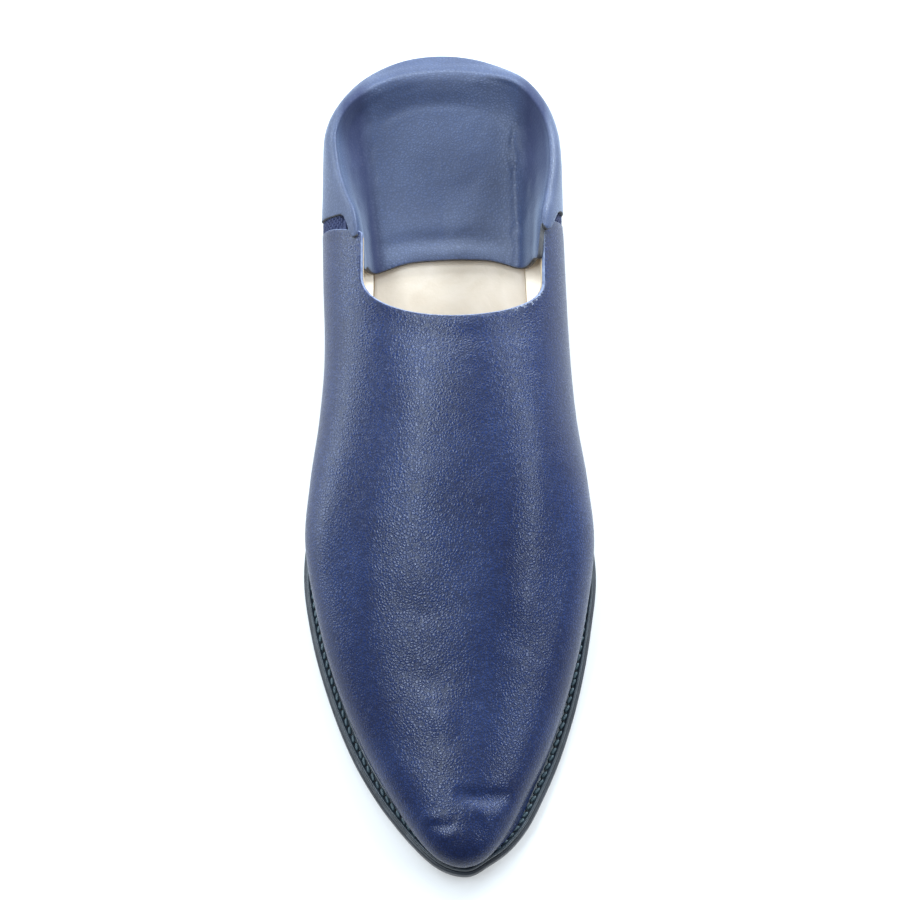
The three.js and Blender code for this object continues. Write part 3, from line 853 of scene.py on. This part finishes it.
def quarter_controls(stations):
    """The control lines of the folded heel, each as one point for each station."""
    rows = len(QUARTER["low_x"])
    params = np.linspace(0, rows - 1, stations)

    def curve(name, height):
        points = np.stack([QUARTER[name + "_x"], QUARTER[name + "_y"], height], -1)
        return spline(points[:, None, :], params)[:, 0]

    zero = np.zeros(rows)
    low, wide = curve("low", zero), curve("wide", zero)
    rim, foot = curve("rim", QUARTER["rim_z"]), curve("foot", QUARTER["foot"])
    crease = curve("crease", zero)
    crease[:, 2] = flap_height(crease[:, 1]) + lerp(0.8, 0.25, smoothstep(crease[:, 1], 240, 248))
    roll, fall = (np.interp(params, np.arange(rows), QUARTER[name]) for name in ("roll", "fall"))
    low[:, 2] = upper_foot(low[:, 1])
    wide[:, 2] = lerp(low[:, 2], rim[:, 2], WIDEST_SHARE)
    out = wide - crease
    out[:, 2] = 0
    out /= np.linalg.norm(out, axis=1, keepdims=True)
    drop = np.stack([0 * roll, 0 * roll, roll], -1)
    outer = rim + out * roll[:, None] * ROLL_OUT - drop
    inner = rim - out * roll[:, None] * ROLL_IN - drop * fall[:, None]
    half = (stations - 1) / 2
    reach = 1 - (np.abs(np.arange(stations) - half) / half) ** 1.5
    spine_y = lerp(SPINE_FRONT, SPINE_BACK, reach)
    spine = np.stack([lerp(1.6, -0.8, reach), spine_y, flap_height(spine_y)], -1)
    near = lerp(crease, spine, NEAR_SHARE)
    near[:, 2] = flap_height(near[:, 1]) + 0.05
    return [low, wide, outer, rim, inner, foot, crease, near, spine]


def profile_params():
    """Places along the quarter's profile, where whole numbers are its control lines."""
    params = []
    for i, steps in enumerate(QUARTER_SEGMENTS):
        params += list(i + np.arange(steps) / steps)
    return np.array(params + [len(QUARTER_SEGMENTS)])


def quarter_normals(grid, params):
    """Normals that turn straight up on the flap's middle, where its two halves meet."""
    level = smoothstep(params, 7.0, 7.7)[None, :, None]
    return lerp(surface_normals(grid), np.array([0.0, 0.0, 1.0]), level)


def quarter_face():
    stations = QUARTER_STATIONS * (len(QUARTER["low_x"]) - 1) + 1
    params = profile_params()
    grid = spline(np.array(quarter_controls(stations)), params).transpose(1, 0, 2)
    inside = smoothstep(params, 4.3, 4.9)[None, :]
    height = relief(grid, FLAP_STROKES + all_wrinkles(FLAP_WRINKLES)) * inside
    return grid + quarter_normals(grid, params) * height[..., None], params


def quarter_keep(face, params):
    """Positive behind the quarter's front edge, in millimetres."""
    half = face.shape[0] // 2
    stations = np.arange(face.shape[0])[:, None]
    edges = [hermite(TAB_EDGE["at"], TAB_EDGE[side], params)[None, :] for side in SIDES]
    edge = np.where(stations <= half, edges[0], edges[1])
    front = hermite(FLAP_FRONT["x"], FLAP_FRONT["y"], face[..., 0])
    share = smoothstep(params, 4.5, 5.2)[None, :]
    return face[..., 1] - lerp(edge, front, share)


def build_quarter():
    face, params = quarter_face()
    keep = quarter_keep(face, params)
    thick = QUARTER_THICK * (1 - FLAP_THINNER * smoothstep(params, 5.5, 6.5))[None, :, None]
    back = face - quarter_normals(face, params) * thick
    # its cut edges are the raw edge's colour with painted shadow
    quarter = leather_sheet("quarter_leather", face, back, keep, [BLUE_SOFT, FLAP_EDGE_AND_SHADOW])
    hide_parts("heel_quarter")
    return [quarter]


# ---------------------------------------------------------------- insole, welt and sole
LAYER_ROWS = 260
LAYER_COLUMNS = 41
INSOLE_CLEAR = 0.15      # from the upper's leather to the insole
INSOLE_TIP_CLEAR = 3.2   # how much further back the insole ends in the toe
INSOLE_DISH = 0.35
INSOLE_BED = 0.4         # the insole's lower side stands this far above the CAD insole's
INSOLE_EDGE = ((0.85, 0.12), (0.4, 0.2), (-0.4, 0.2), (-0.85, 0.12))
SOLE_ROUNDING = 0.55
SOLE_EDGE = ((0.93, 0.38), (0.72, 0.55), (0.0, 0.58), (-0.72, 0.55), (-0.93, 0.38))
WELT_POINTS = 520
# The welt's section from its inner side outward: inset from the sole's edge, and height above its top.
WELT_PROFILE = [
    (6.0, -WELT_THICK),
    (6.0, 0.0),
    (3.75, 0.0),
    (3.35, -0.12),
    (3.0, -0.42),
    (2.3, -0.46),
    (1.95, -0.16),
    (1.7, 0.08),
    (1.42, 0.16),
    (1.15, 0.04),
    (0.98, -0.22),
    (0.92, -0.6),
    (0.92, -1.7),
    (1.05, -WELT_THICK),
]
STITCH_PATH_POINTS = 1200
STITCH_INSET = 2.65
STITCH_PITCH = 2.85
STITCH_LEAN = 0.32       # how far each stitch leans inward
STITCH_DEPTH = 0.14      # of the stitches' middles under the welt's top
STITCH_SIZE = (2.75, 0.56)                      # length and radius
# black capsules sunk in the channel stand for the holes: painted shade
HOLE_DEPTH = 0.36
HOLE_SIZE = (1.15, 0.34)


def layer_face(inset, height):
    """A grid over the sole's outline at an inset: rows along y, and columns from left to right."""
    left, right = (sole_edge(side, DENSE, inset)[0] for side in SIDES)
    first, last = left[:, 1].min(), left[:, 1].max()
    ys = length_at(np.linspace(0, math.pi, LAYER_ROWS), first, last)
    left_x, right_x = (np.interp(ys, side[:, 1], side[:, 0]) for side in (left, right))
    left_x[[0, -1]] = right_x[[0, -1]] = (left_x[[0, -1]] + right_x[[0, -1]]) / 2
    share = np.linspace(0, 1, LAYER_COLUMNS)[None, :]
    x = lerp(left_x[:, None], right_x[:, None], share)
    y = np.broadcast_to(ys[:, None], x.shape)
    return np.stack([x, y, height(y)], -1), share


def dropped(face, amount):
    lower = face.copy()
    lower[..., 2] -= amount
    return lower


def build_insole():
    def inset(y):
        return margin(y) + LEATHER + INSOLE_CLEAR + INSOLE_TIP_CLEAR * (1 - smoothstep(y, 0, 30))

    face, share = layer_face(inset, insole_top)
    face[..., 2] -= INSOLE_DISH * np.sin(share * math.pi)
    back = dropped(face, INSOLE_THICK - INSOLE_BED)
    # the insole's edge is brown: painted shade of the gap between insole and lining
    insole = leather_sheet("insole_sock", face, back, None, [INSOLE_CREAM, CREAM_EDGE_AND_GAP_SHADE], INSOLE_EDGE)
    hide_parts("insole")
    return [insole]


def build_welt():
    loops = []
    for inset, height in WELT_PROFILE + WELT_PROFILE[:1]:
        plan, _ = outline_loop(inset, WELT_POINTS)
        loops.append(np.column_stack([plan, welt_top(plan[:, 1]) + height]))
    welt = loops_mesh("welt_strip", loops, [WELT_DARK])
    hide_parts("welt")
    return [welt]


def capsule(length, radius, sides=8, rings=5):
    """A thread stitch along x: a swollen middle and round ends, as vertices and faces."""
    vertices, faces = [], []
    places = np.linspace(-1, 1, 2 * rings + 1)
    for place in places:
        width = radius * math.sqrt(max(0.0, 1 - abs(place) ** 3)) + 0.02
        for k in range(sides):
            angle = 2 * math.pi * k / sides
            vertices.append((place * length / 2, width * math.cos(angle), width * math.sin(angle) * 0.8))
    for i in range(len(places) - 1):
        for k in range(sides):
            j = (k + 1) % sides
            faces.append((i * sides + k, i * sides + j, (i + 1) * sides + j, (i + 1) * sides + k))
    return np.array(vertices), np.array(faces)


def scatter(name, shape, places, material):
    """Copies of one shape joined in one mesh. A place is (centre, along, up)."""
    base_vertices, base_faces = shape
    vertices, faces = [], []
    for k, (centre, along, up) in enumerate(places):
        along = np.asarray(along, float) / np.linalg.norm(along)
        side = np.cross(up, along)
        side /= np.linalg.norm(side)
        top = np.cross(along, side)
        vertices.append(base_vertices @ np.array([along, side, top]) + centre)
        faces.append(base_faces + k * len(base_vertices))
    return make_object(name, np.concatenate(vertices), np.concatenate(faces), [material])


def build_welt_stitches():
    """Leaning stitches in the welt's channel, with a black capsule of painted shade for the hole between each
    two.
    """
    plan, inward = outline_loop(STITCH_INSET, STITCH_PATH_POINTS)
    path = np.column_stack([plan, welt_top(plan[:, 1])])
    reach = np.linalg.norm(np.roll(plan, -1, 0) - plan, axis=1).sum()
    count = int(reach / STITCH_PITCH)
    step = STITCH_PATH_POINTS / count
    up = np.array([0.0, 0.0, 1.0])
    stitches, holes = [], []
    for k in range(count):
        i = int(k * step)
        along = path[(i + 3) % STITCH_PATH_POINTS] - path[i - 3]
        lean = along / np.linalg.norm(along) + np.append(inward[i], 0.0) * STITCH_LEAN
        stitches.append((path[i] - up * STITCH_DEPTH, lean, up))
        middle = int((k + 0.5) * step) % STITCH_PATH_POINTS
        holes.append((path[middle] - up * HOLE_DEPTH, along, up))
    thread = scatter("welt_stitches", capsule(*STITCH_SIZE), stitches, WELT_THREAD)
    hole_shades = scatter("welt_hole_shades", capsule(*HOLE_SIZE, rings=3), holes, HOLE_SHADE_BLACK)
    return [thread, hole_shades]


def build_sole_layer(name, node, start, low, high):
    """A layer of sole leather with slightly rounded edges, from start to the back of the heel."""
    top, _ = layer_face(SOLE_ROUNDING, high)
    bottom, _ = layer_face(SOLE_ROUNDING, low)
    keep = top[..., 1] - start
    sole = leather_sheet(name, top, bottom, keep, [SOLE_BLACK, SOLE_BLACK], SOLE_EDGE)
    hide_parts(node)
    return [sole]


def build_outsole():
    return build_sole_layer("outsole_body", "outsole", -1, lift, lambda y: OUTSOLE_THICK + lift(y))


def build_heel_lift():
    return build_sole_layer("heel_body", "heel_lift", HEEL_BREAST, lambda y: 0 * y,
                            lambda y: lift(y) - 0.05)


# ---------------------------------------------------------------- side seams
PATCH_REACH = 6.4        # how far a seam's backing runs back from the vamp's edge, before its overlap
BACKING_DEPTHS = (0.8, 1.5)                     # of its two sides under the upper's surface
THREAD_PITCH = 0.95      # from one row of threads to the next
THREAD_START = 0.3       # from the vamp's edge to the first thread of a row
THREAD_STEP = 1.75       # from one thread to the next in a row
THREAD_OFFSET = 0.87     # how far every other row is moved on
THREADS_IN_ROW = 4
THREAD_SIZE = (1.9, 0.5)


def side_seam(side):
    """The coarse navy weave between vamp and quarter, low on each side: rows of short threads."""
    start = SEAM_BACK[side]
    ys = np.linspace(start - 2.5, start + PATCH_REACH + 1.5, 20)
    grid = arch_grid(ys)
    columns = grid.shape[1]
    span = slice(0, UNDER_POINTS + 22) if side == "left" else slice(columns - UNDER_POINTS - 18, columns)
    part, lean = grid[:, span], surface_normals(grid)[:, span]
    face, back = (part - lean * depth for depth in BACKING_DEPTHS)
    backing = leather_sheet(f"seam_backing_{side}", face, back, None, [NAVY_THREAD])
    middle = len(ys) // 2
    path, ups = face[middle], lean[middle]
    reach = np.concatenate([[0], np.cumsum(np.linalg.norm(np.diff(path, axis=0), axis=1))])
    places = []
    for row in range(int(reach[-1] / THREAD_PITCH)):
        distance = (row + 0.5) * THREAD_PITCH
        centre = np.array([np.interp(distance, reach, path[:, k]) for k in range(3)])
        up = np.array([np.interp(distance, reach, ups[:, k]) for k in range(3)])
        for k in range(THREADS_IN_ROW):
            y = start + THREAD_START + THREAD_STEP * k + (THREAD_OFFSET if row % 2 else 0)
            places.append((np.array([centre[0], y, centre[2]]) + up * 0.12, (0.0, 1.0, 0.0), up))
    threads = scatter(f"seam_threads_{side}", capsule(*THREAD_SIZE, sides=6, rings=3), places, NAVY_THREAD)
    return [backing, threads]


# ---------------------------------------------------------------- stage
FLOOR_HALF = 3.0
FLOOR_DROP = 0.0002      # keeps the floor clear of the sole
LIGHT_COLOUR = (0.79, 0.91, 1.0)
LIGHT_CENTRE = Vector((0, 0, 0.03))
# Soft boxes: name, direction from the shoe, distance, size across and along the shoe, radiance.
LIGHTS = [
    ("left_strip", (-0.35, 0.04, 0.935), 1.3, (0.18, 1.0), 27),
    ("right_strip", (0.71, 0.04, 0.70), 1.3, (0.14, 1.0), 24),
    ("left_low", (-0.96, 0.34, 0.14), 1.5, (0.6, 1.2), 9),
    ("left_back_low", (-0.66, 0.70, 0.27), 1.5, (0.5, 0.5), 18),
    ("right_back_low", (0.68, 0.68, 0.27), 1.5, (0.6, 0.5), 38),
    ("back_low", (0.05, 0.92, 0.39), 1.5, (0.9, 0.5), 20),
    ("back_top", (0.0, 0.50, 0.86), 1.5, (0.9, 0.40), 13),
]
CAMERA_ELEVATION = math.radians(76)
CAMERA_LENS = 300.0
CAMERA_SENSOR = 36.0
CAMERA_TARGET = Vector((0, 0.0035, 0.012))
VIEW_WIDTH = 0.288       # metres across the view at the shoe


def build_stage():
    mesh = bpy.data.meshes.new("floor")
    corners = [(x * FLOOR_HALF, y * FLOOR_HALF, 0) for x, y in ((-1, -1), (1, -1), (1, 1), (-1, 1))]
    mesh.from_pydata(corners, [], [(0, 1, 2, 3)])
    floor = add_object("floor", mesh)
    floor.location.z = -FLOOR_DROP
    material, _, shader = new_material("pale_floor")
    set_inputs(shader, {"Base Color": (0.50, 0.50, 0.50, 1), "Roughness": 0.9, "Specular IOR Level": 0.1,
                        "Emission Color": (1.0, 1.0, 1.0, 1), "Emission Strength": 0.34})
    mesh.materials.append(material)


def area_light(name, direction, distance, size, radiance):
    """A soft box that looks at the shoe's middle from a direction. Its second side runs along the shoe."""
    data = bpy.data.lights.new(name, "AREA")
    data.shape = "RECTANGLE"
    data.size, data.size_y = size
    data.energy = radiance * math.pi * size[0] * size[1]
    data.color = LIGHT_COLOUR
    light = add_object(name, data)
    away = Vector(direction).normalized()
    across = Vector((0, 1, 0)).cross(away).normalized()
    along = away.cross(across)
    light.location = away * distance + LIGHT_CENTRE
    light.rotation_euler = Matrix((across, along, away)).transposed().to_euler()


def build_lights():
    world = bpy.data.worlds.new("studio")
    bpy.context.scene.world = world
    world.use_nodes = True
    set_inputs(world.node_tree.nodes["Background"], {"Color": (0.90, 0.95, 1.0, 1), "Strength": 0.14})
    for row in LIGHTS:
        area_light(*row)


def build_camera():
    """From the toe side, steeply down, with a long lens."""
    data = bpy.data.cameras.new("camera")
    data.sensor_width = CAMERA_SENSOR
    data.lens = CAMERA_LENS
    camera = add_object("camera", data)
    distance = CAMERA_LENS * VIEW_WIDTH / CAMERA_SENSOR
    away = Vector((0, -math.cos(CAMERA_ELEVATION), math.sin(CAMERA_ELEVATION)))
    camera.location = CAMERA_TARGET + away * distance
    camera.rotation_euler = away.to_track_quat("Z", "Y").to_euler()
    bpy.context.scene.camera = camera


pieces = build_vamp() + build_quarter() + build_insole() + build_welt() + build_welt_stitches()
pieces += build_outsole() + side_seam("left") + side_seam("right")
pieces += build_heel_lift()
for piece in pieces:
    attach(piece, "root")
build_stage()
build_lights()
build_camera()
bpy.context.scene.view_settings.view_transform = "Standard"
